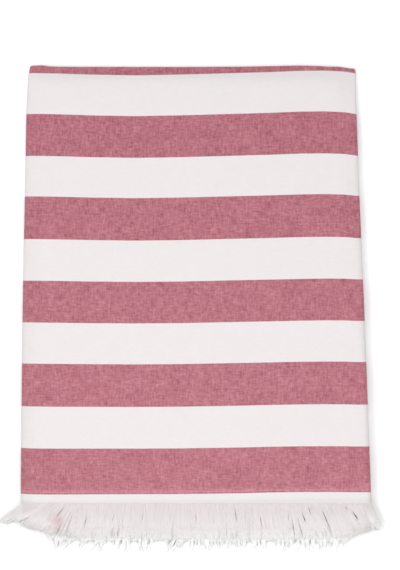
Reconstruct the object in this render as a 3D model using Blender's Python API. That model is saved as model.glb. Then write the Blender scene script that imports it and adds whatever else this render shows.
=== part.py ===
"""A folded beach towel: one flat-woven sheet with red and white stripes and a yarn fringe at each end.

The sheet is first folded back and forth along its length, in four layers. Those four layers are then
turned under together, first the right-hand third and then the left-hand third, so it lies twelve
layers thick. +Y is the top fold, -Y the fringes, +Z up, and the origin is under the middle of the box.
"""

import math

import bmesh
import bpy
import numpy as np

MM = 0.001

# The cloth, in millimetres.
CLOTH_WIDTH = 890.0
CLOTH_THICKNESS = 1.0
LAYER_GAP = 0.4
LAYER_PITCH = CLOTH_THICKNESS + LAYER_GAP
FOUR_LAYERS = 3 * LAYER_PITCH + CLOTH_THICKNESS
BUNDLE_PITCH = FOUR_LAYERS + LAYER_GAP

# Heights of the middle of each bundle of four layers.
LEFT_THIRD_Z = FOUR_LAYERS / 2
RIGHT_THIRD_Z = LEFT_THIRD_Z + BUNDLE_PITCH
FRONT_Z = RIGHT_THIRD_Z + BUNDLE_PITCH

# The two side folds, as half circles along the middle of the bundle.
RIGHT_FOLD_RADIUS = BUNDLE_PITCH / 2
LEFT_FOLD_RADIUS = BUNDLE_PITCH
SIDE_FOLD_STEPS = 6
USUAL_RUN = 310.0  # about the length of each run between the side folds

# Where the side folds lie, seen from above: a row for each stretch, from the top fold down.
SIDE_EDGES = np.array(
    [
        # along y, left edge x, right edge x
        (236.0, -157.0, 150.5),
        (219.0, -160.3, 154.6),
        (190.0, -161.8, 155.6),
        (110.0, -163.3, 158.8),
        (0.0, -165.4, 163.2),
        (-110.0, -166.4, 167.4),
        (-186.0, -167.0, 170.4),
        (-236.0, -167.4, 171.0),
    ]
)

# The cloth's ends and its three cross folds along y, and how far each draws in at its corners.
CROSS_FOLDS = {
    # name: (along y, left corner depth, left corner reach, right corner depth, right corner reach)
    "outer_hem": (-187.5, 0.0, 10.0, 0.0, 10.0),
    "top_fold": (232.5, 4.0, 7.0, 5.0, 18.0),
    "bottom_fold": (-216.0, 24.0, 30.0, 16.0, 16.0),
    "inner_top_fold": (230.5, 4.0, 7.0, 5.0, 18.0),
    "inner_hem": (-196.0, 0.0, 10.0, 0.0, 10.0),
}
CROSS_FOLD_RADIUS = LAYER_PITCH / 2
CROSS_FOLD_STEPS = 4
LEAST_STRETCH = 3.0  # no row of the side edges is followed closer than this to a fold

# The fringes: yarn locks on a narrow strip of the end band, parted from the cloth.
PART_GAP = 0.3
STRIP_DEPTH = 3.0
FRONT_LOCKS = 44
UNDER_LOCKS = 34
LOCK_SHARE = 0.8
LOCK_STEPS = (0.35, 0.7, 1.0)
LOCK_TIP_WIDTH = 0.7
LOCK_TIP_THICKNESS = 0.7
LENGTH_SPREAD = 2.5
SPLAY_SPREAD = 3.0
SEEDS = {"fringe_outer": 16, "fringe_inner": 17}

# How the front locks lie along the hem: a row for each stretch, from the left corner to the right.
FRONT_SPLAY = np.array(
    [
        # x, degrees out from straight down towards +X, share of the full length
        (-158.0, -54.0, 1.15),
        (-150.0, -44.0, 1.05),
        (-143.0, -28.0, 1.0),
        (-134.0, -13.0, 1.0),
        (-110.0, -3.0, 1.0),
        (-40.0, 0.0, 1.0),
        (40.0, 3.0, 1.0),
        (90.0, 6.0, 1.0),
        (130.0, 12.0, 1.0),
        (152.0, 22.0, 1.0),
        (162.0, 33.0, 1.1),
    ]
)

# Past the bottom fold and past the side folds the locks drop onto the pile of those below them.
DROOP_START_Y = -218.0
DROOP_RUN = 17.0
SIDE_DROOP_RUN = 20.0
PILE_PITCH = 1.2

# From the lowest row of locks to the highest: which end, which third, length and share of the splay.
LOCK_ROWS = [
    # (fringe, run of the side folds, lock length, splay share)
    ("fringe_outer", "left_third", 29.5, 0.6),
    ("fringe_inner", "left_third", 31.0, 0.2),
    ("fringe_outer", "right_third", 29.0, 0.2),
    ("fringe_inner", "right_third", 30.5, 0.2),
    ("fringe_inner", "front", 31.0, 0.2),
    ("fringe_outer", "front", 29.5, 1.0),
]

RED = (0.50, 0.165, 0.21, 1.0)
WHITE = (0.83, 0.80, 0.79, 1.0)


def side_edges(y):
    """The left and right edge of the folded towel at this length."""
    rows = SIDE_EDGES[::-1]
    left = float(np.interp(y, rows[:, 0], rows[:, 1]))
    right = float(np.interp(y, rows[:, 0], rows[:, 2]))
    return left, right


def fold_centres(y):
    """The middles of the left and right side folds at this length."""
    left, right = side_edges(y)
    half = FOUR_LAYERS / 2
    return left + LEFT_FOLD_RADIUS + half, right - RIGHT_FOLD_RADIUS - half


def third_width(y):
    """What is left of the cloth's width for each third that is turned under."""
    left, right = fold_centres(y)
    in_folds = math.pi * (LEFT_FOLD_RADIUS + RIGHT_FOLD_RADIUS)
    return (CLOTH_WIDTH - in_folds - (right - left)) / 2


def across(run, share, y, outward):
    """A point (x, z) of the side-folded bundle: its run, the share of that run, and how far outward."""
    left, right = fold_centres(y)
    if run == "right_third":
        return right - third_width(y) * (1 - share), RIGHT_THIRD_Z - outward
    if run == "front":
        return right + (left - right) * share, FRONT_Z + outward
    if run == "left_third":
        return left + third_width(y) * share, LEFT_THIRD_Z - outward
    if run == "right_fold":
        angle = math.pi * (share - 0.5)
        middle, height, radius = right, RIGHT_THIRD_Z + RIGHT_FOLD_RADIUS, RIGHT_FOLD_RADIUS
    else:
        angle = math.pi * (share + 0.5)
        middle, height, radius = left, LEFT_THIRD_Z + LEFT_FOLD_RADIUS, LEFT_FOLD_RADIUS
    reach = radius + outward
    return middle + reach * math.cos(angle), height + reach * math.sin(angle)


def corner_distances(run, share):
    """How far a place on a run lies from the left and from the right side fold."""
    if run == "front":
        return USUAL_RUN * (1 - share), USUAL_RUN * share
    if run == "right_third":
        return USUAL_RUN, USUAL_RUN * (1 - share)
    if run == "left_third":
        return USUAL_RUN * share, USUAL_RUN
    return (USUAL_RUN, 0.0) if run == "right_fold" else (0.0, USUAL_RUN)


def cross_fold_y(name, run, share):
    """Where a hem or cross fold lies, drawn in towards the side folds."""
    y, left_depth, left_reach, right_depth, right_reach = CROSS_FOLDS[name]
    from_left, from_right = corner_distances(run, share)
    draw_in = left_depth * math.exp(-((2 * from_left / left_reach) ** 2))
    draw_in += right_depth * math.exp(-((2 * from_right / right_reach) ** 2))
    return y - math.copysign(draw_in, y)


def layer_outward(layer):
    """The middle of one of the four layers, outward from the middle of the bundle."""
    return (1.5 - layer) * LAYER_PITCH


def lengthways_section(run, share):
    """The back-and-forth section at one place across: rows of (y, outward, normal y, normal outward)."""
    folds = {name: cross_fold_y(name, run, share) for name in CROSS_FOLDS}
    outer_radius = CROSS_FOLD_RADIUS + CLOTH_THICKNESS / 2
    names = list(CROSS_FOLDS)
    rows = []
    for layer in range(4):
        upward = layer % 2 == 0
        start = folds[names[layer]]
        end = folds[names[layer + 1]]
        if layer > 0:
            start += outer_radius if upward else -outer_radius
        if layer < 3:
            end += -outer_radius if upward else outer_radius
        facing = 1.0 if upward else -1.0
        low = min(start, end) + LEAST_STRETCH
        high = max(start, end) - LEAST_STRETCH
        inside = [y for y in SIDE_EDGES[:, 0] if low < y < high]
        stops = sorted([start, end, *inside], reverse=not upward)
        rows += [(y, layer_outward(layer), 0.0, facing) for y in stops]
        if layer == 3:
            break
        turn_out = layer_outward(layer) - CROSS_FOLD_RADIUS
        for step in range(1, CROSS_FOLD_STEPS):
            angle = math.pi * (0.5 - step / CROSS_FOLD_STEPS)
            bulge = facing * math.cos(angle)
            rise = math.sin(angle)
            turn_y = end + CROSS_FOLD_RADIUS * bulge
            rows.append((turn_y, turn_out + CROSS_FOLD_RADIUS * rise, facing * bulge, facing * rise))
    return rows


def add_object(name, mesh_maker, colour):
    """A named object with its own material, from the faces that mesh_maker adds to a bmesh."""
    shape = bmesh.new()
    mesh_maker(shape)
    bmesh.ops.recalc_face_normals(shape, faces=shape.faces)
    mesh = bpy.data.meshes.new(name)
    shape.to_mesh(mesh)
    shape.free()
    mesh.shade_smooth()
    mesh.set_sharp_from_angle(angle=math.radians(50))
    material = bpy.data.materials.new(name)
    material.use_nodes = True
    finish = material.node_tree.nodes["Principled BSDF"]
    finish.inputs["Base Color"].default_value = colour
    finish.inputs["Roughness"].default_value = 0.95
    mesh.materials.append(material)
    thing = bpy.data.objects.new(name, mesh)
    bpy.context.scene.collection.objects.link(thing)
    return thing


def towel_stations():
    """Places across the towel where the lengthways section stands."""
    even = [step / SIDE_FOLD_STEPS for step in range(1, SIDE_FOLD_STEPS)]
    stations = [("right_third", share) for share in (0.0, 0.5, 0.93, 0.98, 1.0)]
    stations += [("right_fold", share) for share in even]
    stations += [("front", share) for share in (0.0, 0.02, 0.05, 0.3, 0.6, 0.9, 0.95, 0.98, 1.0)]
    stations += [("left_fold", share) for share in even]
    stations += [("left_third", share) for share in (0.0, 0.03, 0.07, 0.15, 0.5, 0.93, 1.0)]
    return stations


def build_towel(shape):
    """Sweeps the lengthways section round the side folds as one closed sheet."""
    half = CLOTH_THICKNESS / 2
    rings = []
    for run, share in towel_stations():
        section = lengthways_section(run, share)
        sides = []
        for side in (half, -half):
            points = []
            for y, outward, normal_y, normal_out in section:
                along = y + side * normal_y
                x, z = across(run, share, along, outward + side * normal_out)
                points.append(shape.verts.new((x * MM, along * MM, z * MM)))
            sides.append(points)
        rings.append(sides[0] + sides[1][::-1])
    for ring, following in zip(rings, rings[1:]):
        for i in range(len(ring)):
            j = (i + 1) % len(ring)
            shape.faces.new((ring[i], ring[j], following[j], following[i]))
    for ring in (rings[0], rings[-1]):
        last = len(ring) - 1
        for i in range(len(ring) // 2 - 1):
            shape.faces.new((ring[i], ring[i + 1], ring[last - i - 1], ring[last - i]))


def strip_stations():
    """Places across a fringe's strip, and whether a lock grows between each place and the next."""
    even = [step / SIDE_FOLD_STEPS for step in range(1, SIDE_FOLD_STEPS)]
    stations = []
    for run, locks, fold in (
        ("right_third", UNDER_LOCKS, "right_fold"),
        ("front", FRONT_LOCKS, "left_fold"),
        ("left_third", UNDER_LOCKS, None),
    ):
        for lock in range(locks):
            margin = (1 - LOCK_SHARE) / 2
            stations.append((run, (lock + margin) / locks, True))
            stations.append((run, (lock + 1 - margin) / locks, False))
        if fold:
            stations += [(fold, share, False) for share in even]
    first = ("right_third", 0.0, False)
    last = ("left_third", 1.0, False)
    return [first, *stations, last]


def droop_share(x, y):
    """How far a lock has dropped from its layer towards the pile, from 0 to 1."""
    left, right = side_edges(y)
    past_side = max(left - x, x - right, 0.0) / SIDE_DROOP_RUN
    past_fold = max(DROOP_START_Y - y, 0.0) / DROOP_RUN
    shares = [min(past, 1.0) for past in (past_side, past_fold)]
    eased = [share * share * (3 - 2 * share) for share in shares]
    return 1 - (1 - eased[0]) * (1 - eased[1])


def grow_lock(shape, face, row, swing, length):
    """Extrudes one lock from its face of the strip, out and down onto the pile."""
    level = LOCK_ROWS.index(row)
    corners = [corner.co / MM for corner in face.verts]
    root_x = sum(corner.x for corner in corners) / 4
    root_y = corners[0].y
    low = min(corner.z for corner in corners)
    offsets = [(corner.x - root_x, corner.z > low + CLOTH_THICKNESS / 2) for corner in corners]
    tip = face
    for share in LOCK_STEPS:
        grown = bmesh.ops.extrude_discrete_faces(shape, faces=[tip])
        tip = grown["faces"][0]
        x = root_x + length * share * math.sin(swing)
        y = root_y - length * share * math.cos(swing)
        drop = droop_share(x, y)
        bottom = low + (level * PILE_PITCH - low) * drop
        thickness = CLOTH_THICKNESS + (LOCK_TIP_THICKNESS - CLOTH_THICKNESS) * share
        width = 1 + (LOCK_TIP_WIDTH - 1) * share
        for corner, (offset, is_top) in zip(tip.verts, offsets):
            height = bottom + (thickness if is_top else 0.0)
            corner.co = ((x + offset * width) * MM, y * MM, height * MM)


def build_fringe(shape, name):
    """A strip of the end band round the side folds, with a row of locks on each of its three runs."""
    hem = "outer_hem" if name == "fringe_outer" else "inner_hem"
    middle = layer_outward(0 if name == "fringe_outer" else 3)
    back = CROSS_FOLDS[hem][0] - PART_GAP
    front = back - STRIP_DEPTH
    outside = middle + CLOTH_THICKNESS / 2
    inside = middle - CLOTH_THICKNESS / 2
    stations = strip_stations()
    rings = []
    for run, share, _ in stations:
        ring = []
        for y, outward in ((back, outside), (front, outside), (front, inside), (back, inside)):
            x, z = across(run, share, y, outward)
            ring.append(shape.verts.new((x * MM, y * MM, z * MM)))
        rings.append(ring)
    roots = []
    for (run, _, has_lock), ring, following in zip(stations, rings, rings[1:]):
        for i in range(4):
            j = (i + 1) % 4
            face = shape.faces.new((ring[i], ring[j], following[j], following[i]))
            if i == 1 and has_lock:
                roots.append((run, face))
    shape.faces.new(rings[0])
    shape.faces.new(rings[-1])
    dice = np.random.default_rng(SEEDS[name])
    for run, face in roots:
        row = next(row for row in LOCK_ROWS if row[:2] == (name, run))
        centre = face.calc_center_median().x / MM
        splay = float(np.interp(centre, FRONT_SPLAY[:, 0], FRONT_SPLAY[:, 1])) * row[3]
        stretch = float(np.interp(centre, FRONT_SPLAY[:, 0], FRONT_SPLAY[:, 2]))
        swing = math.radians(splay + dice.uniform(-SPLAY_SPREAD, SPLAY_SPREAD))
        length = (row[2] + dice.uniform(-LENGTH_SPREAD, LENGTH_SPREAD)) * stretch
        grow_lock(shape, face, row, swing, length)


def clear_scene():
    for thing in list(bpy.data.objects):
        bpy.data.objects.remove(thing, do_unlink=True)


def build():
    clear_scene()
    add_object("towel", build_towel, RED)
    add_object("fringe_outer", lambda shape: build_fringe(shape, "fringe_outer"), WHITE)
    add_object("fringe_inner", lambda shape: build_fringe(shape, "fringe_inner"), WHITE)


build()
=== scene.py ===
import math

import bpy
import numpy as np
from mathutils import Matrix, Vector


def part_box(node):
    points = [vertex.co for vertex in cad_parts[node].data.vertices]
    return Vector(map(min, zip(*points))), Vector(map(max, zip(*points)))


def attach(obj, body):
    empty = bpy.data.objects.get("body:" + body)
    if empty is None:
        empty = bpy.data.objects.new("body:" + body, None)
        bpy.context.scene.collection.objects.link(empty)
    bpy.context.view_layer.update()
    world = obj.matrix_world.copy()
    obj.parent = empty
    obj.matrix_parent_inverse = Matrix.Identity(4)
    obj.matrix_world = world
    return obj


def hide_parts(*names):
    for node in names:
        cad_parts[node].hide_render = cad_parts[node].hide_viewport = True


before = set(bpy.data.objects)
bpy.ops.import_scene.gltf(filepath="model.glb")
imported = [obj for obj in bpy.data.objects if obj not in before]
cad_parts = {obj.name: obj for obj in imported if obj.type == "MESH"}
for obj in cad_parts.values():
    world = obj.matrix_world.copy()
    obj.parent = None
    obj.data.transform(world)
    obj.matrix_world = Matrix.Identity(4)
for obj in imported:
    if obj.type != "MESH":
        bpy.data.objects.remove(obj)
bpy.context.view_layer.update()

# Lengths are in millimetres here, and become metres where a mesh or an object is made.
MM = 0.001
METRE = 1000.0

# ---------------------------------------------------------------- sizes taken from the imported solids

TOWEL_LOW, TOWEL_HIGH = (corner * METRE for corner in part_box("towel"))
LAYERS = 12
THICKNESS = 1.0
STACK_HEIGHT = TOWEL_HIGH.z
LAYER_PITCH = (STACK_HEIGHT - THICKNESS) / (LAYERS - 1)
FOUR_LAYERS = 3 * LAYER_PITCH + THICKNESS
BUNDLE_PITCH = 4 * LAYER_PITCH
LEFT_THIRD_Z = FOUR_LAYERS / 2
RIGHT_THIRD_Z = LEFT_THIRD_Z + BUNDLE_PITCH
FRONT_Z = RIGHT_THIRD_Z + BUNDLE_PITCH
RIGHT_FOLD_RADIUS = BUNDLE_PITCH / 2
LEFT_FOLD_RADIUS = BUNDLE_PITCH
IN_SIDE_FOLDS = math.pi * (LEFT_FOLD_RADIUS + RIGHT_FOLD_RADIUS)
CROSS_FOLD_RADIUS = LAYER_PITCH / 2

STRIP_GAP = 0.3  # between the cloth and the strip of each fringe's solid
OUTER_HEM_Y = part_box("fringe_outer")[1].y * METRE + STRIP_GAP
INNER_HEM_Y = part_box("fringe_inner")[1].y * METRE + STRIP_GAP
TOP_FOLD_Y = TOWEL_HIGH.y
INNER_FOLD_SHORT = 2.0  # how far the inner top fold stops short of the outer one
INNER_TOP_FOLD_Y = TOP_FOLD_Y - INNER_FOLD_SHORT
BOTTOM_FOLD_Y = TOWEL_LOW.y

CLOTH_WIDTH = 890.0
CLOTH_LENGTH = 2 * TOP_FOLD_Y + 2 * INNER_TOP_FOLD_Y - 2 * BOTTOM_FOLD_Y - OUTER_HEM_Y - INNER_HEM_Y

# Where the side folds lie, seen from above: a row for each stretch, from the bottom up.
SIDE_EDGES = np.array(
    [
        # along y, left edge x, right edge x
        (-236.0, -167.6, 171.2),
        (-186.0, -167.2, 170.7),
        (-110.0, -166.6, 168.0),
        (0.0, -165.4, 164.0),
        (110.0, -163.3, 159.3),
        (190.0, -161.8, 156.7),
        (219.0, -160.3, 155.8),
        (228.0, -159.4, 156.2),
        (232.0, -158.7, 155.2),
        (236.0, -157.5, 152.5),
    ]
)

# The top fold's uneven line.
TOP_LINE = np.array(
    [
        # x, how far it stands above its usual place
        (-152.5, 2.1),
        (-149.0, 2.2),
        (-146.0, 1.6),
        (-143.0, 1.15),
        (-139.0, 0.95),
        (-132.0, 0.7),
        (-110.0, 0.6),
        (-15.0, 0.4),
        (45.0, 0.8),
        (102.0, 1.85),
        (120.0, 1.3),
        (127.0, 0.9),
        (132.0, 0.75),
        (137.0, 0.95),
        (141.0, 0.5),
        (143.0, 0.3),
        (148.5, -0.8),
    ]
)

# How far the bottom fold draws in at its corners: depth and reach at the left, then at the right.
BOTTOM_CORNERS = (24.0, 30.0, 16.0, 16.0)

# The weft lines aren't quite straight: how far they stand above their place, at three heights.
WEFT_LINES = np.array(
    [
        # x, near the top fold, half way down, at the hem
        (-156.0, 0.6, 0.3, -1.1),
        (-129.0, -0.1, 0.0, -1.2),
        (-100.0, -1.1, -0.4, -1.0),
        (-57.0, -1.9, -0.8, -0.9),
        (-13.0, -1.1, -0.5, -0.7),
        (44.0, 0.5, 0.8, 0.0),
        (73.0, 1.4, 1.3, 0.8),
        (102.0, 2.6, 1.9, 1.2),
        (126.0, 2.9, 2.3, 1.2),
        (145.0, 2.1, 2.2, 1.1),
        (156.0, 0.4, 1.7, 1.0),
    ]
)
WEFT_HEIGHTS = (-178.0, 10.0, 195.0)  # y at the hem, half way down and near the top fold
WEFT_FADE = 200.0  # past the top fold, this is lost over such a length

# The stripes aren't quite even either: how far each of their edges stands above its place.
STRIPE_DRIFT = np.array(
    [
        # y, rise
        (-134.0, 0.5),
        (-94.0, 0.4),
        (-54.0, 1.3),
        (-14.0, 0.5),
        (25.0, 0.55),
        (65.0, 0.4),
        (106.0, 1.6),
        (145.0, 0.5),
        (185.0, 1.0),
        (225.0, 0.6),
    ]
)

# How the stack is pressed flatter towards the top fold.
STACK_TAPER = np.array(
    [
        # y, share of the full height
        (-236.0, 1.0),
        (-120.0, 1.0),
        (0.0, 0.94),
        (110.0, 0.80),
        (190.0, 0.68),
        (236.0, 0.58),
    ]
)

# How the stack rounds off towards its side folds: share of the height lost there, and over how far.
SIDE_SAG = np.array(
    [
        # y, lost at the left, reach, lost at the right, reach
        (-236.0, 0.34, 11.0, 0.04, 6.0),
        (-110.0, 0.34, 11.0, 0.05, 6.0),
        (0.0, 0.36, 12.0, 0.08, 7.0),
        (110.0, 0.38, 12.0, 0.13, 9.0),
        (190.0, 0.40, 13.0, 0.22, 13.0),
        (236.0, 0.40, 13.0, 0.48, 16.0),
    ]
)
TOP_SAG = (0.50, 9.0)  # the same towards the top fold
BOTTOM_SAG = (0.36, 12.0)  # and towards the bottom fold

# Soft ridges and troughs: the whole stack swells or sinks with them.
CREASES = [
    # (x, y, direction of its length in degrees, half length, half width, height at the top)
    (-118.0, 20.0, 88.0, 170.0, 14.0, 0.30),
    (112.0, -10.0, 92.0, 180.0, 16.0, 0.35),
    (-40.0, 150.0, 12.0, 90.0, 22.0, -0.45),
    (60.0, 175.0, -8.0, 80.0, 18.0, 0.40),
    (-78.0, -34.0, -38.0, 26.0, 6.0, -0.45),
    (20.0, -90.0, 5.0, 120.0, 30.0, 0.45),
    (120.0, 90.0, 75.0, 60.0, 16.0, -0.35),
    (-130.0, 190.0, 30.0, 40.0, 12.0, 0.40),
    (-20.0, 40.0, 0.0, 110.0, 60.0, 0.55),
]

# ---------------------------------------------------------------- the folded shape


def side_edges(y):
    """Where the left and right side folds' outer edges lie at this length."""
    left = np.interp(y, SIDE_EDGES[:, 0], SIDE_EDGES[:, 1])
    right = np.interp(y, SIDE_EDGES[:, 0], SIDE_EDGES[:, 2])
    return left, right


def fold_centres(y):
    """The middles of the left and right side folds at this length."""
    left, right = side_edges(y)
    half = FOUR_LAYERS / 2
    return left + LEFT_FOLD_RADIUS + half, right - RIGHT_FOLD_RADIUS - half


def third_width(y):
    """What is left of the cloth's width for each third that is turned under."""
    left, right = fold_centres(y)
    return (CLOTH_WIDTH - IN_SIDE_FOLDS - (right - left)) / 2


def lift(x, y):
    """The stack's height here, as a share of its usual one."""
    rise = np.zeros(np.broadcast(x, y).shape)
    for middle_x, middle_y, direction, half_length, half_width, height in CREASES:
        turn = math.radians(direction)
        along = (x - middle_x) * math.cos(turn) + (y - middle_y) * math.sin(turn)
        aside = (y - middle_y) * math.cos(turn) - (x - middle_x) * math.sin(turn)
        rise += height * np.exp(-((along / half_length) ** 2) - (aside / half_width) ** 2)
    share = 1 + rise / STACK_HEIGHT
    left, right = side_edges(y)
    sags = [np.interp(y, SIDE_SAG[:, 0], SIDE_SAG[:, i]) for i in range(1, 5)]
    insides = [(x - left, *sags[:2]), (right - x, *sags[2:])]
    insides += [(TOP_FOLD_Y - y, *TOP_SAG), (y - BOTTOM_FOLD_Y, *BOTTOM_SAG)]
    for inside, lost, reach in insides:
        share = share * (1 - lost * np.exp(-((np.maximum(inside, 0) / reach) ** 2)))
    return share * np.interp(y, STACK_TAPER[:, 0], STACK_TAPER[:, 1])


FOLD_SQUARENESS = 0.9  # below 1, the side folds are fuller than a half circle


def half_round(angle):
    """The cosine and sine of a half circle's angle, both pushed out towards a square's."""
    cosine, sine = np.cos(angle), np.sin(angle)
    return (np.sign(one) * np.abs(one) ** FOLD_SQUARENESS for one in (cosine, sine))


def across(run, share, y, outward):
    """x, z and the distance over the cloth of a place on the side-folded bundle."""
    left, right = fold_centres(y)
    third = third_width(y)
    front = right - left
    if run == "right_third":
        x, z, over = right - third * (1 - share), RIGHT_THIRD_Z - outward, third * share
    elif run == "right_fold":
        aside, above = half_round(math.pi * (share - 0.5))
        reach = RIGHT_FOLD_RADIUS + outward
        x = right + reach * aside
        z = RIGHT_THIRD_Z + RIGHT_FOLD_RADIUS + reach * above
        over = third + math.pi * RIGHT_FOLD_RADIUS * share
    elif run == "front":
        x, z = right - front * share, FRONT_Z + outward
        over = third + math.pi * RIGHT_FOLD_RADIUS + front * share
    elif run == "left_fold":
        aside, above = half_round(math.pi * (share + 0.5))
        reach = LEFT_FOLD_RADIUS + outward
        x = left + reach * aside
        z = LEFT_THIRD_Z + LEFT_FOLD_RADIUS + reach * above
        over = third + math.pi * RIGHT_FOLD_RADIUS + front + math.pi * LEFT_FOLD_RADIUS * share
    else:
        x, z = left + third * share, LEFT_THIRD_Z - outward
        over = third + IN_SIDE_FOLDS + front + third * share
    x, z, over = np.broadcast_arrays(x, z, over)
    return x, z * lift(x, y), over


USUAL_RUN = 310.0  # about the length of the front's run between the side folds
USUAL_THIRD = 270.0  # and of each third's, from its side fold to the cloth's edge


def corner_distances(run, share):
    """How far a place on a run lies from the left and from the right side fold."""
    if run == "front":
        return USUAL_RUN * (1 - share), USUAL_RUN * share
    if run == "right_third":
        return USUAL_RUN, USUAL_THIRD * (1 - share)
    if run == "left_third":
        return USUAL_THIRD * share, USUAL_RUN
    return (USUAL_RUN, 0.0) if run == "right_fold" else (0.0, USUAL_RUN)


THIRD_TOP_DROP = 0.8  # the thirds' top folds stand this much lower, from so far inside the corner
THIRD_DROP_REACH = 30.0


def top_line(run, share):
    """How far the top folds stand above their usual place, read from the nearer corner."""
    from_left, from_right = corner_distances(run, share)
    left_x, right_x = TOP_LINE[0, 0], TOP_LINE[-1, 0]
    x = left_x + from_left if from_left < from_right else right_x - from_right
    line = float(np.interp(x, TOP_LINE[:, 0], TOP_LINE[:, 1]))
    if run.endswith("third"):
        line -= THIRD_TOP_DROP * min(1.0, min(from_left, from_right) / THIRD_DROP_REACH)
    return line


def drawn_in(from_left, from_right):
    """How far the bottom fold is drawn in at these distances from the side folds."""
    left_depth, left_reach, right_depth, right_reach = BOTTOM_CORNERS
    at_left = left_depth * np.exp(-((2 * from_left / left_reach) ** 2))
    at_right = right_depth * np.exp(-((2 * from_right / right_reach) ** 2))
    return at_left + at_right


def bottom_line(run, share):
    """How far the bottom folds stand above their usual place."""
    return float(drawn_in(*corner_distances(run, share)))


LAYER_ROW_STEP = (3.5, 20.0, 20.0, 20.0)  # each layer's rows, from the outer to the inner
CROSS_FOLD_STEPS = 8
CRISP_END = 0.12  # a row this close to the cloth's cut ends keeps their edges sharp


def layer_outward(layer):
    """The middle of one of the four layers, outward from the middle of the bundle."""
    return (1.5 - layer) * LAYER_PITCH


def lengthways_section(run, share):
    """Rows from the outer hem to the inner one: y, outward, the normal's y and outward, and the length
    along the cloth."""
    above_usual = top_line(run, share)
    top = TOP_FOLD_Y + above_usual
    inner_top = INNER_TOP_FOLD_Y + above_usual
    bottom = BOTTOM_FOLD_Y + bottom_line(run, share)
    ends = (OUTER_HEM_Y, top, bottom, inner_top, INNER_HEM_Y)
    outer_radius = CROSS_FOLD_RADIUS + THICKNESS / 2
    rows = []
    length = 0.0
    for layer in range(4):
        facing = 1.0 if layer % 2 == 0 else -1.0
        start = ends[layer] + (facing * outer_radius if layer > 0 else 0.0)
        end = ends[layer + 1] - (facing * outer_radius if layer < 3 else 0.0)
        count = round(abs(TOP_FOLD_Y - BOTTOM_FOLD_Y) / LAYER_ROW_STEP[layer])
        places = np.linspace(start, end, count + 1)
        if layer in (0, 3):
            last = 1 if layer == 0 else count
            crisp = start + CRISP_END if layer == 0 else end + CRISP_END
            places = np.insert(places, last, crisp)
        for y in places:
            rows.append((y, layer_outward(layer), 0.0, facing, length + abs(y - start)))
        length += abs(end - start)
        if layer == 3:
            break
        turn_out = layer_outward(layer) - CROSS_FOLD_RADIUS
        for step in range(1, CROSS_FOLD_STEPS):
            angle = math.pi * (0.5 - step / CROSS_FOLD_STEPS)
            bulge, rise = facing * math.cos(angle), math.sin(angle)
            arc = math.pi * CROSS_FOLD_RADIUS * step / CROSS_FOLD_STEPS
            y = end + CROSS_FOLD_RADIUS * bulge
            out = turn_out + CROSS_FOLD_RADIUS * rise
            rows.append((y, out, facing * bulge, facing * rise, length + arc))
        length += math.pi * CROSS_FOLD_RADIUS
    return np.array(rows)


def weft_rise(x, y):
    """How far the weft lines stand above their place, seen on the front."""
    at_hem, half_way, at_top = (np.interp(x, WEFT_LINES[:, 0], WEFT_LINES[:, i]) for i in (3, 2, 1))
    low, middle, high = WEFT_HEIGHTS
    to_middle = np.clip((y - low) / (middle - low), 0, 1)
    to_top = np.clip((y - middle) / (high - middle), 0, 1)
    lower = at_hem + (half_way - at_hem) * to_middle
    upper = half_way + (at_top - half_way) * to_top
    lines = np.where(y < middle, lower, upper)
    return lines + np.interp(y, STRIPE_DRIFT[:, 0], STRIPE_DRIFT[:, 1])


# ---------------------------------------------------------------- meshes


def new_object(name, data):
    """An object with this data, in the scene."""
    thing = bpy.data.objects.new(name, data)
    bpy.context.scene.collection.objects.link(thing)
    return thing


def mesh_object(name, points, faces, corner_maps):
    """An object from points in millimetres and quads, with a UV map for each entry of corner_maps."""
    mesh = bpy.data.meshes.new(name)
    mesh.vertices.add(len(points))
    mesh.vertices.foreach_set("co", (points * MM).astype(np.float32).ravel())
    mesh.loops.add(faces.size)
    mesh.loops.foreach_set("vertex_index", faces.astype(np.int32).ravel())
    mesh.polygons.add(len(faces))
    mesh.polygons.foreach_set("loop_start", np.arange(0, faces.size, 4, dtype=np.int32))
    for map_name, values in corner_maps.items():
        layer = mesh.uv_layers.new(name=map_name)
        layer.uv.foreach_set("vector", values[faces.ravel()].astype(np.float32).ravel())
    mesh.update(calc_edges=True)
    mesh.validate()
    mesh.shade_smooth()
    return new_object(name, mesh)


SIDE_FOLD_STEPS = 14
FRONT_COLUMNS = 104
FRONT_CROWDING = 0.45  # from 0, evenly spaced columns, to 1, ones that crowd towards the side folds
THIRD_COLUMNS = 14
THIRD_CROWDING = 1.6  # above 1, a third's columns crowd towards its side fold


def towel_stations():
    """Places across the towel where the lengthways section stands, closer together near the folds."""
    turned = np.arange(1, SIDE_FOLD_STEPS) / SIDE_FOLD_STEPS
    third = np.linspace(0, 1, THIRD_COLUMNS + 1)
    even = np.linspace(0, 1, FRONT_COLUMNS + 1)
    crowded = 0.5 - 0.5 * np.cos(math.pi * even)
    runs = (
        ("right_third", 1 - (1 - third) ** THIRD_CROWDING),
        ("right_fold", turned),
        ("front", FRONT_CROWDING * crowded + (1 - FRONT_CROWDING) * even),
        ("left_fold", turned),
        ("left_third", third**THIRD_CROWDING),
    )
    return [(run, float(share)) for run, shares in runs for share in shares]


# The slits in the fringe show red, so the hidden layers' stripes lie this much further on than even
# ones would: the difference grows over the second layer and is lost again over the last.
HIDDEN_SHIFT = 21.0
FRONT_LENGTH = TOP_FOLD_Y - OUTER_HEM_Y
TURNS = (FRONT_LENGTH, 2 * FRONT_LENGTH, 3 * FRONT_LENGTH, CLOTH_LENGTH)
SHIFTS = (0.0, HIDDEN_SHIFT, HIDDEN_SHIFT, 0.0)


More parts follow.
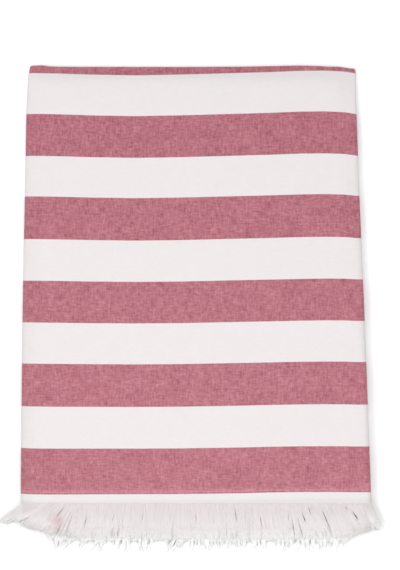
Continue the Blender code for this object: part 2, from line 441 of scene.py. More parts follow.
def swept_section(run, share):
    """The ring of points round the section at a place over the width, and each one's place on the
    flat cloth, over its width and along it."""
    y_middle, outward, normal_y, normal_out, length = lengthways_section(run, share).T
    sides, flats = [], []
    for side in (THICKNESS / 2, -THICKNESS / 2):
        y = y_middle + side * normal_y
        x, z, over = across(run, share, y, outward + side * normal_out)
        fade = np.clip(1 - (length - FRONT_LENGTH) / WEFT_FADE, 0, 1)
        along = length - weft_rise(x, y) * fade - np.interp(length, TURNS, SHIFTS)
        sides.append(np.stack([x, y, z], 1))
        flats.append(np.stack([over, along], 1))
    return (np.concatenate([front, back[::-1]]) for front, back in (sides, flats))


def selvedge(ring):
    """The strip of faces that closes the sheet at a side, between the ring's two halves."""
    front, back = ring[: len(ring) // 2], ring[::-1][: len(ring) // 2]
    return np.stack([front[:-1], front[1:], back[1:], back[:-1]], 1)


def make_towel():
    """One closed sheet: the back-and-forth section swept round the side folds."""
    rings, flats = zip(*(swept_section(run, share) for run, share in towel_stations()))
    index = np.arange(len(rings) * len(rings[0])).reshape(len(rings), -1)
    here, after = index[:-1], index[1:]
    walls = np.stack([here, after, np.roll(after, -1, 1), np.roll(here, -1, 1)], -1).reshape(-1, 4)
    faces = np.concatenate([walls, selvedge(index[0]), selvedge(index[-1])[:, [1, 0, 3, 2]]])
    return mesh_object("towel_cloth", np.concatenate(rings), faces, {"cloth": np.concatenate(flats) * MM})


# ---------------------------------------------------------------- the fringes

# How the front yarns lie along the hem: a row for each stretch, from the left corner to the right.
FRONT_SPLAY = np.array(
    [
        # x, degrees out from straight down towards +X, share of the full length, spread in degrees
        (-168.0, -49.0, 0.86, 3.0),
        (-160.0, -52.0, 0.94, 2.5),
        (-145.8, -56.0, 1.03, 1.5),
        (-145.2, -50.0, 0.98, 2.0),
        (-124.2, -41.0, 0.97, 1.2),
        (-123.8, -37.0, 0.97, 1.2),
        (-116.0, -24.0, 0.97, 1.2),
        (-106.0, -13.0, 0.98, 1.0),
        (-92.0, -6.0, 0.99, 0.7),
        (-60.0, -4.0, 0.98, 0.7),
        (-10.0, 0.0, 1.0, 0.7),
        (40.0, 6.0, 1.02, 0.7),
        (90.0, 12.0, 1.03, 0.7),
        (112.0, 17.0, 1.02, 0.8),
        (130.0, 19.0, 1.02, 0.8),
        (148.0, 25.0, 0.98, 1.5),
        (158.0, 26.0, 0.94, 1.8),
        (170.0, 27.0, 0.92, 2.2),
    ]
)

# Where the outer end's yarns part, and so show what lies under them.
PARTINGS = [
    # (x at the hem, widest opening, where along the yarns it starts and ends, lean in degrees)
    (-145.5, 6.5, 0.72, 1.6, 0.0),
    (-140.0, 0.8, 0.15, 0.55, 0.0),
    (-133.5, 1.0, 0.45, 0.95, 0.0),
    (-130.5, 1.3, 0.35, 0.90, 0.0),
    (-127.3, 1.3, 0.20, 0.80, 0.0),
    (-124.0, 1.8, 0.05, 0.60, -2.0),
    (-104.5, 0.8, 0.20, 0.70, 0.0),
    (-101.0, 0.7, 0.35, 0.80, 0.0),
    (-75.0, 0.8, 0.20, 0.70, -8.0),
    (-48.0, 0.8, 0.15, 0.65, -4.0),
    (-21.0, 0.8, 0.15, 0.65, -6.0),
    (-11.5, 0.8, 0.02, 0.25, 0.0),
    (1.0, 0.8, 0.15, 0.65, 2.0),
    (38.5, 0.9, 0.02, 0.65, 4.0),
    (61.0, 0.7, 0.30, 0.65, 4.0),
    (68.0, 0.7, 0.30, 0.60, 0.0),
    (90.0, 0.8, 0.15, 0.60, -8.0),
    (101.5, 1.3, 0.20, 0.60, 6.0),
    (109.5, 1.3, 0.02, 0.40, 2.0),
    (121.5, 1.0, 0.12, 0.62, 4.0),
    (145.0, 1.3, 0.02, 0.32, 6.0),
    (149.0, 2.4, 0.22, 0.62, 8.0),
]
PARTING_REACH = 3.5  # about how far to its sides a parting moves the yarns

# Where the red cloth shows faintly through thinly laid front yarns.
SHOW_THROUGH = [
    # (x, y, half width, half height, share of its colour)
    (-131.5, -204.5, 6.5, 8.0, 0.38),
]
SHOW_THROUGH_Z = (7.0, 11.0)  # from nothing on the lower layers' yarns to all of it on the front's

# How each stretch of an end's yarns lies: height of the pile past the bottom fold, length, share of
# the splay, and where and over how far the yarns sink to that height.
YARN_RUNS = {
    "fringe_outer": {
        "right_third": (2.5, 31.0, 0.2, -214.0, 16.0),
        "front": (2.0, 35.0, 1.0, -210.0, 19.0),
        "left_third": (0.45, 31.0, 0.6, -217.5, 20.0),
    },
    "fringe_inner": {
        "right_third": (2.0, 26.0, 0.2, -214.0, 18.0),
        "front": (0.8, 28.8, 0.2, -210.0, 22.0),
        "left_third": (1.0, 25.0, 0.2, -214.0, 16.0),
    },
}
SIDE_PILES = {"fringe_outer": 2.2, "fringe_inner": 1.2}  # the same beyond the side folds, on the front
SIDE_DROOP_RUN = 20.0  # yarns sink to these over this way
SIDE_DROOP_INSIDE = 10.0  # past the bottom fold, the droop starts this far inside the side folds

# Where the yarns end: a row for each stretch, from the left corner to the right.
FRINGE_LINE = np.array(
    [
        # x, lowest y of the front's yarns, and of those that lie under them
        (-190.0, -212.0, -180.0),
        (-175.0, -212.0, -190.0),
        (-173.5, -205.5, -190.0),
        (-169.5, -206.0, -194.0),
        (-168.0, -208.5, -196.0),
        (-160.0, -213.5, -203.0),
        (-150.0, -216.0, -210.0),
        (-143.0, -218.0, -215.0),
        (-136.0, -221.0, -232.0),
        (-120.0, -224.0, -236.0),
        (140.0, -225.0, -236.0),
        (153.0, -219.0, -219.0),
        (166.0, -216.0, -205.0),
        (178.0, -214.0, -190.0),
        (184.0, -210.0, -180.0),
    ]
)

# Tufts of the inner end that reach out below the front fringe. Every other one of the yarns above a
# tuft belongs to it. The fuller a tuft is, the more of its strands reach its end.
LOW_TUFTS = [
    # (x of its tips, half width, how far it reaches along y, lean at the tips in degrees, fullness)
    (-137.0, 1.5, -226.0, 20.0, 0.9),
    (-129.5, 5.5, -231.5, -3.0, 0.95),
    (-121.0, 1.6, -230.0, -42.0, 0.9),
    (-118.0, 1.0, -229.5, -30.0, 0.9),
    (-108.0, 1.6, -231.0, -30.0, 0.9),
    (-104.0, 1.6, -231.5, -28.0, 0.9),
    (-96.5, 1.6, -230.0, -38.0, 0.9),
    (-92.0, 1.2, -231.5, 4.0, 0.9),
    (-89.0, 1.2, -231.0, -22.0, 0.9),
    (-69.5, 7.5, -232.0, -3.0, 0.95),
    (-50.0, 2.8, -232.0, -2.0, 1.0),
    (-45.0, 0.8, -230.0, -14.0, 0.9),
    (-41.5, 0.9, -230.0, -8.0, 0.9),
    (-28.5, 0.8, -230.5, 10.0, 0.9),
    (-20.0, 3.2, -229.5, -26.0, 0.8),
    (-14.5, 3.0, -228.5, -20.0, 0.7),
    (-7.0, 1.3, -229.0, 3.0, 0.9),
    (-2.0, 1.3, -229.0, 0.0, 0.9),
    (6.0, 5.0, -227.5, 0.0, 0.6),
    (16.0, 5.0, -226.5, 0.0, 0.6),
    (30.0, 9.0, -226.0, 0.0, 0.7),
    (48.0, 9.0, -226.5, 0.0, 0.7),
    (62.0, 5.0, -226.5, 0.0, 0.7),
    (79.0, 2.0, -229.0, -10.0, 0.9),
    (85.5, 2.2, -230.5, 6.0, 0.9),
    (94.0, 3.5, -228.5, -12.0, 0.8),
    (104.0, 3.0, -228.5, 8.0, 0.8),
    (114.0, 6.0, -226.0, 0.0, 0.7),
    (124.0, 4.0, -226.5, 0.0, 0.7),
    (137.0, 7.0, -228.5, -3.0, 0.95),
    (147.0, 3.0, -223.5, 0.0, 0.7),
]

TUFT_SLACK = 9.0  # what a tuft's yarns lose to their bends
TUFT_REACHES = (0.86, 1.1)  # how far each yarn reaches, as a share of its strand's reach
TUFT_STRAND_CURL = 8.0  # its strands' own curl is this many times as strong
TUFT_YARN_CURL = 3.0  # how much its yarns' curl varies in degrees
TUFT_GATHER = 0.5  # how far the yarns of its strands draw together
TUFT_POWERS = (1.6, 0.1)  # a strand's reach is a random share to this power, in an empty and a full tuft

# Bundles of yarns: how wide they are, how much their direction and their curl vary in degrees, how
# uneven their lengths are, and how far their yarns draw together towards the tips.
LOCKS = ((4.0, 11.0), 0.7, 1.3, 0.02, (0.0, 0.03))
STRANDS = ((1.3, 3.2), 0.3, 0.8, 0.02, (0.0, 0.05))
LOCK_LATENESS, STRAND_LATENESS = 3, 7  # the higher, the nearer to their tips they draw together
BUNDLE_RISES, YARN_RISES = (-0.05, 0.04), (-0.05, 0.07)  # how much higher or lower they lie
RISE_RUN = 1 / 3  # the share of its length over which a yarn comes to that height

# From where a corner starts, its yarns come to splay as the front's do and to end more unevenly.
LEFT_CORNER_X, RIGHT_CORNER_X, CORNER_WIDTH = -142.0, 146.0, 10.0
HIDDEN_CORNER = 0.85  # the share in which the yarns under the right corner do the same
UNEVEN_LENGTH, UNEVEN_IN_CORNER = 0.07, 0.18  # the most that a yarn falls short, and what a corner adds
LONG_SHARE, LONG_LENGTHS = 0.1, (1.0, 1.07)  # the share of yarns that are longer, and their lengths
SHORT_IN_CORNER = 0.15  # how much lower the first of the next two is in a corner
LINE_REACHES = (0.95, 1.03)  # how far yarns may reach, as a share of the way to FRINGE_LINE
LEAST_ROOM = 1.0  # but this is the least way to it
LEAST_DROP = 0.3  # and this the least share of a yarn's length that is taken to go down
SWING_RUN = 0.3  # the share of its length over which a yarn turns to its direction

YARN_PITCHES = {"fringe_outer": (0.21, 0.65), "fringe_inner": (0.22, 0.65)}  # on the front, on the thirds
UNEVEN_PITCH = (0.75, 1.25)  # shares of the pitch
SELVEDGE = 0.4  # how far from the cloth's sides the yarns start
YARN_WIDE, YARN_HIGH = 0.48, 0.26  # half the yarns' section, flattened by lying in a pile
UNEVEN_YARN = (0.85, 1.15)  # each yarn's thickness, as a share of that
YARN_SIDES = 4
YARN_STEPS = np.sort(np.append(np.linspace(0, 1, 8), (0.012, 0.985)))  # rings, with two to close the ends
YARN_TAPER = ((0.0, 0.8, 0.985, 1.0), (1.0, 1.0, 0.75, 0.3))  # along the yarn, and its thickness there
BENDS = (0.5, 1.1)  # how often a yarn bends to both sides
BEND_WIDTHS = (0.05, 0.30)
ROOT_INSIDE = 0.7  # how far the yarns start inside the cloth's edge
ROOT_RISE = 0.40  # and how far above the cloth's middle
PAINTED_LIGHT_PAST_LEFT = -0.5  # yarns are painted lighter as they pass a fold, but beyond the left one no more than here


def place_over(over, y):
    """The run and share at a distance over the cloth's width."""
    left, right = fold_centres(y)
    third = float(third_width(y))
    spans = (
        ("right_third", third),
        ("right_fold", math.pi * RIGHT_FOLD_RADIUS),
        ("front", float(right - left)),
        ("left_fold", math.pi * LEFT_FOLD_RADIUS),
        ("left_third", third),
    )
    for run, span in spans:
        if over <= span:
            return run, over / span
        over -= span
    return "left_third", 1.0


def yarn_habit(name, run, share):
    """The columns of YARN_RUNS at a place, blended round the side folds."""
    runs = YARN_RUNS[name]
    if run in runs:
        return runs[run]
    before = runs["right_third"] if run == "right_fold" else runs["front"]
    after = runs["front"] if run == "right_fold" else runs["left_third"]
    return tuple(a + (b - a) * share for a, b in zip(before, after))


def ease(value):
    """From 0 to 1, with a soft start and end."""
    value = np.clip(value, 0, 1)
    return value * value * (3 - 2 * value)


def sunk(x, y, z, pile, side_pile, start, run):
    """The height of a yarn that lies at z on its layer and sinks past the folds."""
    left, right = side_edges(y)
    start = start + drawn_in(np.maximum(x - left, 0), np.maximum(right - x, 0)) / 2
    past_fold = ease((start - y) / run)
    z = z + (pile - z) * past_fold
    beyond = np.maximum(left - x, x - right) + SIDE_DROOP_INSIDE * past_fold
    past_side = ease(beyond / SIDE_DROOP_RUN)
    return z + (np.minimum(z, side_pile) - z) * past_side


def find_tuft(x):
    """The low tuft that a yarn of the inner end belongs to, from where it starts, or None."""
    for tuft in LOW_TUFTS:
        tip_x, half_width, reach, lean, _ = tuft
        # The lean grows with the square of the way, so on average it is a third of the tips'.
        shift = (INNER_HEM_Y - reach) * math.radians(lean) / 3
        if abs(x + shift - tip_x) < half_width:
            return tuft
    return None


def bundles(dice, widths, swing, curl, uneven, gather):
    """Bundles of yarns over the cloth's width: where each one lies, and how its yarns do."""
    made = []
    end = 0.0
    while end < CLOTH_WIDTH:
        start, end = end, end + dice.uniform(*widths)
        bundle = {
            "middle": (start + end) / 2,
            "end": end,
            "swing": dice.normal(0, swing),
            "curl": dice.normal(0, curl),
            "length": 1 + dice.uniform(-uneven, uneven),
            "gather": dice.uniform(*gather),
            "rise": dice.uniform(*BUNDLE_RISES),
            "reach": dice.uniform(),
        }
        made.append(bundle)
    return made


def corner_share(run, x):
    """How far a yarn that starts at x is into a corner, from 0 to 1."""
    past = max(LEFT_CORNER_X - x, x - RIGHT_CORNER_X) / CORNER_WIDTH
    share = min(max(past, 0.0), 1.0)
    return share * HIDDEN_CORNER if x > 0 and run != "front" else share


def partings(x):
    """How the partings turn a yarn that starts at x, in degrees, and push it aside along its length."""
    turn, push = 0.0, np.zeros(len(YARN_STEPS))
    for parting_x, gap, begin, finish, lean in PARTINGS:
        aside = x - parting_x
        turn += lean * math.exp(-((aside / PARTING_REACH) ** 2))
        apart = math.copysign(gap / 2, aside) * math.exp(-abs(aside) / PARTING_REACH)
        push += apart * np.sin(math.pi * np.clip((YARN_STEPS - begin) / (finish - begin), 0, 1))
    return turn, push


def uneven_length(dice, corner):
    """A yarn's length as a share of its neighbours': most are shorter, and a few are longer."""
    uneven = UNEVEN_LENGTH + UNEVEN_IN_CORNER * corner
    if dice.uniform() < 1 - LONG_SHARE:
        return 1 - uneven * dice.uniform() ** 2
    return dice.uniform(*LONG_LENGTHS)


def reaching_out(dice, tuft, strand, length):
    """The length and the curl of a yarn that belongs to a low tuft."""
    _, _, reach, lean, fullness = tuft
    empty_power, full_power = TUFT_POWERS
    power = empty_power + (full_power - empty_power) * fullness
    share_of_reach = strand["reach"] ** power * dice.uniform(*TUFT_REACHES)
    length += (INNER_HEM_Y + TUFT_SLACK - reach - length) * share_of_reach
    return length, lean + TUFT_STRAND_CURL * strand["curl"] + dice.normal(0, TUFT_YARN_CURL)


def within_line(dice, length, root, turn, column, corner):
    """The length that keeps a yarn within FRINGE_LINE, by and large."""
    root_x, root_y = root
    tip_x = root_x + length * np.sin(turn).mean()
    lowest = np.interp(tip_x, FRINGE_LINE[:, 0], FRINGE_LINE[:, column])
    room = max((root_y - lowest) / max(np.cos(turn).mean(), LEAST_DROP), LEAST_ROOM)
    shortest, longest = LINE_REACHES
    return min(length, room * dice.uniform(shortest - SHORT_IN_CORNER * corner, longest))


def yarn_path(dice, name, over, lock, strand, may_reach_out):
    """The middle line of the yarn at this distance over the cloth's width, and the run it starts on."""
    hem, layer = (OUTER_HEM_Y, 0) if name == "fringe_outer" else (INNER_HEM_Y, 3)
    run, share = place_over(over, hem)
    root_x, root_z, _ = (float(value) for value in across(run, share, hem, layer_outward(layer)))
    pile, length, splay_share, sink_start, sink_run = yarn_habit(name, run, share)
    corner = corner_share(run, root_x)
    splay_share = max(splay_share, corner)
    splay, stretch, spread = (np.interp(root_x, FRONT_SPLAY[:, 0], FRONT_SPLAY[:, i]) for i in (1, 2, 3))
    swing = splay * splay_share + lock["swing"] + strand["swing"] + dice.normal(0, spread)
    curl = lock["curl"] + strand["curl"]
    gather = strand["gather"]
    push = 0.0
    if name == "fringe_outer":
        parting_turn, push = partings(root_x)
        swing += parting_turn
    length *= (1 + (stretch - 1) * splay_share) * lock["length"] * strand["length"]
    length *= uneven_length(dice, corner)
    tuft = find_tuft(root_x) if run == "front" and name == "fringe_inner" else None
    if tuft and may_reach_out:
        length, curl = reaching_out(dice, tuft, strand, length)
        gather = TUFT_GATHER

    steps = YARN_STEPS
    turn = np.radians(swing * np.clip(steps / SWING_RUN, 0, 1) + curl * steps**2)
    column = 2 if name == "fringe_inner" or run.endswith("third") else 1
    length = within_line(dice, length, (root_x, hem), turn, column, corner)
    stride = (length + ROOT_INSIDE) * np.diff(steps, prepend=0)
    x = root_x + np.cumsum(np.sin(turn) * stride)
    y = hem + ROOT_INSIDE - np.cumsum(np.cos(turn) * stride)
    way = 1.0 if run.endswith("third") else -1.0  # in which the distance over the cloth grows
    for bundle, pull, late in ((lock, lock["gather"], LOCK_LATENESS), (strand, gather, STRAND_LATENESS)):
        x += way * (bundle["middle"] - over) * pull * steps**late
    x += push
    bends = dice.uniform(*BENDS) * steps + dice.uniform()
    x += dice.uniform(*BEND_WIDTHS) * steps * np.sin(math.tau * bends)
    side_pile = min(SIDE_PILES[name], root_z) if run == "front" else min(pile, root_z)
    z = sunk(x, y, root_z + ROOT_RISE, pile, side_pile, sink_start, sink_run)
    rise = lock["rise"] + strand["rise"] + dice.uniform(*YARN_RISES)
    z += rise * np.clip(steps / RISE_RUN, 0, 1)
    return np.stack([x, y, np.maximum(z, YARN_HIGH)], 1), run


def yarn_paths(name, seed):
    """The middle line of every yarn of one end, as an array of yarns by rings by xyz."""
    dice = np.random.default_rng(seed)
    locks = bundles(dice, *LOCKS)
    strands = bundles(dice, *STRANDS)
    paths = []
    over = SELVEDGE
    while over < CLOTH_WIDTH - SELVEDGE:
        for group in (locks, strands):
            while over > group[0]["end"]:
                group.pop(0)
        path, run = yarn_path(dice, name, over, locks[0], strands[0], len(paths) % 2)
        paths.append(path)
        front_pitch, third_pitch = YARN_PITCHES[name]
        over += (third_pitch if run.endswith("third") else front_pitch) * dice.uniform(*UNEVEN_PITCH)
    return np.array(paths)


def yarn_tubes(paths, thick):
    """The points, the walls' faces and the caps of closed flattened tubes along the paths."""
    tangent = np.gradient(paths, axis=1)
    tangent /= np.linalg.norm(tangent, axis=2, keepdims=True)
    aside = np.cross(tangent, (0.0, 0.0, 1.0))
    aside /= np.linalg.norm(aside, axis=2, keepdims=True)
    above = np.cross(aside, tangent)
    radius = thick[:, None, None, None] * np.interp(YARN_STEPS, *YARN_TAPER)[None, :, None, None]
    angle = math.tau * (np.arange(YARN_SIDES) + 0.5) / YARN_SIDES
    wide, high = YARN_WIDE * np.cos(angle)[:, None], YARN_HIGH * np.sin(angle)[:, None]
    ring = aside[:, :, None] * wide + above[:, :, None] * high
    points = paths[:, :, None] + ring * radius
    index = np.arange(points[..., 0].size).reshape(points.shape[:3])
    here, after = index[:, :-1], index[:, 1:]
    walls = np.stack([here, np.roll(here, -1, 2), np.roll(after, -1, 2), after], -1).reshape(-1, 4)
    caps = np.concatenate([index[:, 0, ::-1], index[:, -1]])
    return points.reshape(-1, 3), walls, caps


def yarn_maps(paths, tone):
    """The yarns' UV maps: one of their tone and how far they are past the nearest fold, one of the way
    round and along them, and one of how much red shows through."""
    x, y, z = np.moveaxis(paths, 2, 0)
    left, right = side_edges(y)
    past_side = np.maximum(np.minimum(left - x, PAINTED_LIGHT_PAST_LEFT), x - right)
    past_fold = np.maximum(BOTTOM_FOLD_Y - y, past_side)
    length = np.cumsum(np.linalg.norm(np.diff(paths, axis=1, prepend=paths[:, :1]), axis=2), axis=1)
    seen = sum(
        share * np.exp(-(((x - middle_x) / half_width) ** 2) - ((y - middle_y) / half_height) ** 2)
        for middle_x, middle_y, half_width, half_height, share in SHOW_THROUGH
    )
    seen = seen * np.interp(z, SHOW_THROUGH_Z, (0.0, 1.0))
    around = np.arange(YARN_SIDES) / YARN_SIDES
    pairs = {
        "yarn": (tone[:, None, None], past_fold[:, :, None]),
        "twist": (around, length[:, :, None]),
        "show_through": (seen[:, :, None], seen[:, :, None]),
    }
    shape = (*x.shape, YARN_SIDES)
    return {
        map_name: np.stack([np.broadcast_to(one, shape).ravel() for one in pair], 1)
        for map_name, pair in pairs.items()
    }


def make_yarns(name, solid, seed):
    """All yarns of one end as one mesh of closed tubes, shaded smooth but for their caps."""
    paths = yarn_paths(solid, seed)
    dice = np.random.default_rng(seed + 100)
    thick = dice.uniform(*UNEVEN_YARN, len(paths))
    tone = dice.uniform(0, 1, len(paths))
    points, walls, caps = yarn_tubes(paths, thick)
    yarns = mesh_object(name, points, np.concatenate([walls, caps]), yarn_maps(paths, tone))
    yarns.data.polygons.foreach_set("use_smooth", np.arange(len(walls) + len(caps)) < len(walls))
    return yarns


# ---------------------------------------------------------------- materials

CLOTH_WHITE = (0.722, 0.682, 0.682)
WEFT_RED = (0.290, 0.074, 0.104)
WARP_FLECK = (0.538, 0.232, 0.270)
# The yarns' roots are painted darker and a little pinker than their bodies: painted shade by the hem.
YARN_ROOT_PAINTED_SHADE = (0.739, 0.681, 0.683)
YARN_BODY = (0.790, 0.752, 0.749)
# Where they hang past the folds the yarns are painted lighter than their bodies: painted light.
YARN_TIP_PAINTED_LIGHT = (0.980, 0.976, 0.973)
BLACK = (0.0, 0.0, 0.0)
FLOOR_WHITE = (0.965, 0.965, 0.965)

STRIPE = 40.0
WHITE_END = 9.6  # the white band's width at each end of the cloth
BORDER_END = 53.4  # where the red border after it ends
SOFT_EDGE = 0.3  # a stripe's edge is blurred over twice this

# The noises in the cloth's colour.
STREAKS_ALONG = ((1.8, 7.0), 3.0, 0.6)  # size over the width and along the cloth, detail, roughness
STREAKS_ACROSS = ((7.0, 1.8), 3.0, 0.6)
CLOUDS = ((18.0, 18.0), 4.0, 0.6)
GRAIN = ((1.5, 1.5), 2.0, 0.7)
STREAKS_WEIGHT, CLOUDS_WEIGHT, GRAIN_WEIGHT = 0.65, 0.30, 0.40
FLECK_RANGE = (0.69, 1.33)  # of their weighted sum, from no fleck to a full one

# Lines in the red next to the white end. A pair of distances from that end comes before the pair of
# shares of a fleck that are added there, or taken away for the dark pick.
LIGHT_PICK, LIGHT_PICK_WIDTH, LIGHT_PICK_SHARE = 2.1, 1.0, 0.35
PALER_BAND = (6.5, 3.0, 0.0, 0.16)
DARK_PICK = (1.4, 0.8, 0.0, 0.20)
PALER_NEAR_ENDS = (45.0, 370.0, 0.03, -0.075)  # the same for all the red, from the cloth's end

# The white's faint weft lines, and the painted shade over its last picks before each end.
WEFT_LINE_SHADE, WEFT_LINE_RANGE = 0.975, (0.3, 0.7)
HEM_PAINTED_SHADE, HEM_SHADE_FROM_END = 0.92, (4.6, 2.2)
HEM_SHADE_STREAKS = (0.2, 0.5, 0.7, 1.0)  # from this noise to that, the painted shade on the last picks goes from this to that much

WARP_PITCH, WEFT_PITCH = 0.85, 0.75
RIB_WEIGHT, SLUB_WEIGHT = 0.5, 0.8
WEAVE_DEPTH, TWIST_DEPTH = 0.12, 0.08
BUMP_STRENGTH = 0.5
CLOTH_SURFACE = {"Roughness": 0.92, "Specular IOR Level": 0.2, "Sheen Weight": 0.08, "Sheen Roughness": 0.6}
YARN_SURFACE = {"Roughness": 0.9, "Specular IOR Level": 0.2, "Sheen Weight": 0.1}
FLOOR_SURFACE = {"Roughness": 1.0, "Specular IOR Level": 0.0}

ROOT_SHADE_TO_BODY = (8.0, 25.0)  # where along a yarn the painted shade at its root gives way to its own colour
PAINTED_LIGHT_PAST_FOLD = (-4.0, 6.0)  # and where past the nearest fold the yarns turn to the painted light of their tips
DARKEST_TONE = 0.06  # how much of black the darkest yarns have
TWIST_PITCH, PLIES = 1.6, 2
TWIST_SHIFT = 7.3  # turns by which the twists of the darkest and the lightest yarns differ


class Nodes:
    """Short calls for a material's nodes."""

    def __init__(self, name):
        self.material = bpy.data.materials.new(name)
        self.material.use_nodes = True
        self.tree = self.material.node_tree
        self.shader = self.tree.nodes["Principled BSDF"]

    def add(self, kind, **settings):
        node = self.tree.nodes.new(kind)
        for key, value in settings.items():
            setattr(node, key, value)
        return node

    def feed(self, socket, value):
        if isinstance(value, bpy.types.NodeSocket):
            self.tree.links.new(value, socket)
        else:
            socket.default_value = (*value, 1.0) if isinstance(value, tuple) else value

    def math(self, operation, first, second=0.0, third=0.0):
        node = self.add("ShaderNodeMath", operation=operation)
        for socket, value in zip(node.inputs, (first, second, third)):
            self.feed(socket, value)
        return node.outputs[0]

    def ramp(self, value, low, high, out_low=0.0, out_high=1.0):
        node = self.add("ShaderNodeMapRange")
        names = ("Value", "From Min", "From Max", "To Min", "To Max")
        for name, given in zip(names, (value, low, high, out_low, out_high)):
            self.feed(node.inputs[name], given)
        return node.outputs["Result"]

    def mix(self, share, first, second):
        node = self.add("ShaderNodeMix", data_type="RGBA")
        for name, value in (("Factor", share), ("A", first), ("B", second)):
            self.feed(node.inputs[name], value)
        return node.outputs["Result"]

    def wave(self, value, length):
        """A sine that repeats over this length of the value."""
        return self.math("SINE", self.math("MULTIPLY", value, math.tau / length))

    def noise(self, first, second, sizes, detail, roughness):
        """Noise over two values, with its sizes along them."""
        vector = self.add("ShaderNodeCombineXYZ")
        for axis, value, size in zip("XY", (first, second), sizes):
            self.feed(vector.inputs[axis], self.math("DIVIDE", value, size))
        node = self.add("ShaderNodeTexNoise", noise_dimensions="2D")
        self.feed(node.inputs["Vector"], vector.outputs["Vector"])
        for name, value in (("Scale", 1.0), ("Detail", detail), ("Roughness", roughness)):
            self.feed(node.inputs[name], value)
        return node.outputs["Fac"]

    def uv(self, name):
        split = self.add("ShaderNodeSeparateXYZ")
        self.feed(split.inputs["Vector"], self.add("ShaderNodeUVMap", uv_map=name).outputs["UV"])
        return split.outputs["X"], split.outputs["Y"]

    def bump(self, height, depth):
        """Bumps on the surface, of this depth in millimetres for a height of 1."""
        node = self.add("ShaderNodeBump")
        for name, value in (("Height", height), ("Distance", depth * MM), ("Strength", BUMP_STRENGTH)):
            self.feed(node.inputs[name], value)
        self.feed(self.shader.inputs["Normal"], node.outputs["Normal"])

    def surface(self, colour, settings):
        """The material, with its colour and the shader's settings."""
        for name, value in {"Base Color": colour, **settings}.items():
            self.feed(self.shader.inputs[name], value)
        return self.material


def shaded(colour, shade):
    return tuple(shade * value for value in colour)


def red_share(nodes, from_end):
    """Where the cloth is red: the border, then every other stripe, but not the band at the very end."""
    repeat = nodes.wave(nodes.math("SUBTRACT", from_end, BORDER_END), 2 * STRIPE)
    edge = math.sin(math.tau * SOFT_EDGE / (2 * STRIPE))
    stripes = nodes.ramp(repeat, edge, -edge)
    border = nodes.math("LESS_THAN", from_end, BORDER_END - STRIPE / 2)
    striped = nodes.math("MAXIMUM", stripes, border)
    past_end = nodes.ramp(from_end, WHITE_END - SOFT_EDGE, WHITE_END + SOFT_EDGE)
    return nodes.math("MULTIPLY", striped, past_end)


def border_lines(nodes, from_end):
    """A dark pick, a light one and a paler band, in the red next to the white end."""
    from_white = nodes.math("SUBTRACT", from_end, WHITE_END)
    aside = nodes.math("ABSOLUTE", nodes.math("SUBTRACT", from_white, LIGHT_PICK))
    light_pick = nodes.math("MAXIMUM", nodes.math("SUBTRACT", LIGHT_PICK_WIDTH, aside), 0.0)
    lines = nodes.math("MULTIPLY", light_pick, LIGHT_PICK_SHARE)
    lines = nodes.math("ADD", lines, nodes.ramp(from_white, *PALER_BAND))
    return nodes.math("SUBTRACT", lines, nodes.ramp(from_white, *DARK_PICK))


def cloth_material():
    nodes = Nodes("striped_cloth")
    over, along = (nodes.math("MULTIPLY", metres, METRE) for metres in nodes.uv("cloth"))
    from_end = nodes.math("MINIMUM", along, nodes.math("SUBTRACT", CLOTH_LENGTH, along))
    noises = (nodes.noise(over, along, *kind) for kind in (STREAKS_ALONG, STREAKS_ACROSS, CLOUDS, GRAIN))
    warp_streaks, weft_streaks, clouds, grain = noises
    streaks = nodes.math("ADD", warp_streaks, weft_streaks)

    # The red is a chambray, with white warp between red wefts in short streaks both ways.
    flecks = nodes.math("MULTIPLY", streaks, STREAKS_WEIGHT)
    flecks = nodes.math("MULTIPLY_ADD", clouds, CLOUDS_WEIGHT, flecks)
    flecks = nodes.math("MULTIPLY_ADD", grain, GRAIN_WEIGHT, flecks)
    lines = nodes.math("ADD", border_lines(nodes, from_end), nodes.ramp(from_end, *PALER_NEAR_ENDS))
    fleck_share = nodes.math("ADD", nodes.ramp(flecks, *FLECK_RANGE), lines)
    chambray = nodes.mix(fleck_share, WEFT_RED, WARP_FLECK)

    # The white is even, but for faint weft lines, and for painted shade on the last picks before each end,
    # broken up by streaks.
    weft_lines = nodes.ramp(weft_streaks, *WEFT_LINE_RANGE)
    plain = nodes.mix(weft_lines, shaded(CLOTH_WHITE, WEFT_LINE_SHADE), CLOTH_WHITE)
    hem_shade = nodes.ramp(from_end, *HEM_SHADE_FROM_END)
    hem_shade = nodes.math("MULTIPLY", hem_shade, nodes.ramp(warp_streaks, *HEM_SHADE_STREAKS))
    plain = nodes.mix(hem_shade, plain, shaded(CLOTH_WHITE, HEM_PAINTED_SHADE))

    # The plain weave: warp and weft cross over and under, with slubs.
    weft_wave = nodes.wave(along, 2 * WEFT_PITCH)
    checks = nodes.math("MULTIPLY", nodes.wave(over, 2 * WARP_PITCH), weft_wave)
    weave = nodes.math("MULTIPLY_ADD", nodes.math("ABSOLUTE", weft_wave), RIB_WEIGHT, checks)
    nodes.bump(nodes.math("MULTIPLY_ADD", streaks, SLUB_WEIGHT, weave), WEAVE_DEPTH)
    return nodes.surface(nodes.mix(red_share(nodes, from_end), plain, chambray), CLOTH_SURFACE)


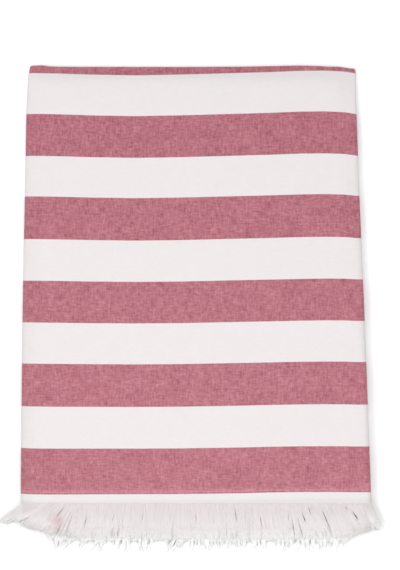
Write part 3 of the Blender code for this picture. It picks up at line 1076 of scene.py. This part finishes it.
def yarn_material():
    nodes = Nodes("fringe_yarn")
    tone, past_fold = nodes.uv("yarn")
    around, along = nodes.uv("twist")
    # Darker and pinker towards the root: painted shade by the hem.
    colour = nodes.mix(nodes.ramp(along, *ROOT_SHADE_TO_BODY), YARN_ROOT_PAINTED_SHADE, YARN_BODY)
    # Lighter past the folds, where the yarns hang and sink: painted light.
    colour = nodes.mix(nodes.ramp(past_fold, *PAINTED_LIGHT_PAST_FOLD), colour, YARN_TIP_PAINTED_LIGHT)
    colour = nodes.mix(nodes.uv("show_through")[0], colour, WARP_FLECK)
    colour = nodes.mix(nodes.ramp(tone, 0.0, 1.0, DARKEST_TONE, 0.0), colour, BLACK)
    turned = nodes.math("ADD", around, nodes.math("DIVIDE", along, TWIST_PITCH))
    turned = nodes.math("MULTIPLY_ADD", tone, TWIST_SHIFT, turned)
    nodes.bump(nodes.wave(turned, 1 / PLIES), TWIST_DEPTH)
    return nodes.surface(colour, YARN_SURFACE)


# ---------------------------------------------------------------- floor, light and camera

PIXEL = 0.96  # millimetres that one of the picture's pixels shows on the towel's front
IMAGE_WIDTH, IMAGE_HEIGHT = 400, 570
ORIGIN_PIXEL = (194.0, 308.5)
CAMERA_DISTANCE = 2200.0
SENSOR_WIDTH = 36.0
CLIP_END = 100.0  # in metres
FLOOR_HALF = 6000.0
FLOOR_Z = -0.05


def make_floor():
    corners = np.array([(-1, -1), (1, -1), (1, 1), (-1, 1)]) * FLOOR_HALF
    points = np.column_stack([corners, np.full(4, FLOOR_Z)])
    floor = mesh_object("floor", points, np.array([[0, 1, 2, 3]]), {})
    floor.data.materials.append(Nodes("pale_floor").surface(FLOOR_WHITE, FLOOR_SURFACE))


# The studio's softboxes: square area lights that face the middle of the towel.
SOFTBOXES = [
    # (name, place in metres, side in metres, power in watts)
    ("softbox_above", (0.45, 0.1, 2.4), 1.0, 8.0),
    ("softbox_left", (-1.05, 0.0, 1.5), 0.9, 18.2),
    ("softbox_right", (1.0, 0.1, 1.2), 0.5, 6.0),
    ("softbox_near", (0.2, -0.9, 1.0), 0.8, 6.0),
    ("softbox_far", (-0.1, 0.9, 1.2), 0.5, 3.6),
]
WORLD_STRENGTH = 0.18


def light_scene():
    world = bpy.data.worlds.new("studio")
    world.use_nodes = True
    background = world.node_tree.nodes["Background"]
    background.inputs["Color"].default_value = (1.0, 1.0, 1.0, 1.0)
    background.inputs["Strength"].default_value = WORLD_STRENGTH
    bpy.context.scene.world = world
    for name, place, side, power in SOFTBOXES:
        light = bpy.data.lights.new(name, "AREA")
        light.shape = "SQUARE"
        light.size = side
        light.energy = power
        lamp = new_object(name, light)
        lamp.location = place
        lamp.rotation_euler = (-lamp.location).to_track_quat("-Z", "Y").to_euler()
    bpy.context.scene.view_settings.view_transform = "Standard"


def make_camera():
    """Straight above, with the picture's long side as the sensor's width."""
    lens = bpy.data.cameras.new("camera")
    lens.sensor_width = SENSOR_WIDTH
    lens.lens = SENSOR_WIDTH * CAMERA_DISTANCE / (IMAGE_HEIGHT * PIXEL)
    lens.clip_end = CLIP_END
    camera = new_object("camera", lens)
    x = (IMAGE_WIDTH / 2 - ORIGIN_PIXEL[0]) * PIXEL
    y = (ORIGIN_PIXEL[1] - IMAGE_HEIGHT / 2) * PIXEL
    camera.location = (x * MM, y * MM, (STACK_HEIGHT + CAMERA_DISTANCE) * MM)
    bpy.context.scene.camera = camera


# ---------------------------------------------------------------- the scene

make_camera()
light_scene()
make_floor()

towel = make_towel()
towel.data.materials.append(cloth_material())
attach(towel, "root")
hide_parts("towel")

outer = make_yarns("outer_yarns", "fringe_outer", 11)
inner = make_yarns("inner_yarns", "fringe_inner", 12)
yarn = yarn_material()
for fringe, node in ((outer, "fringe_outer"), (inner, "fringe_inner")):
    fringe.data.materials.append(yarn)
    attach(fringe, "root")
    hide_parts(node)
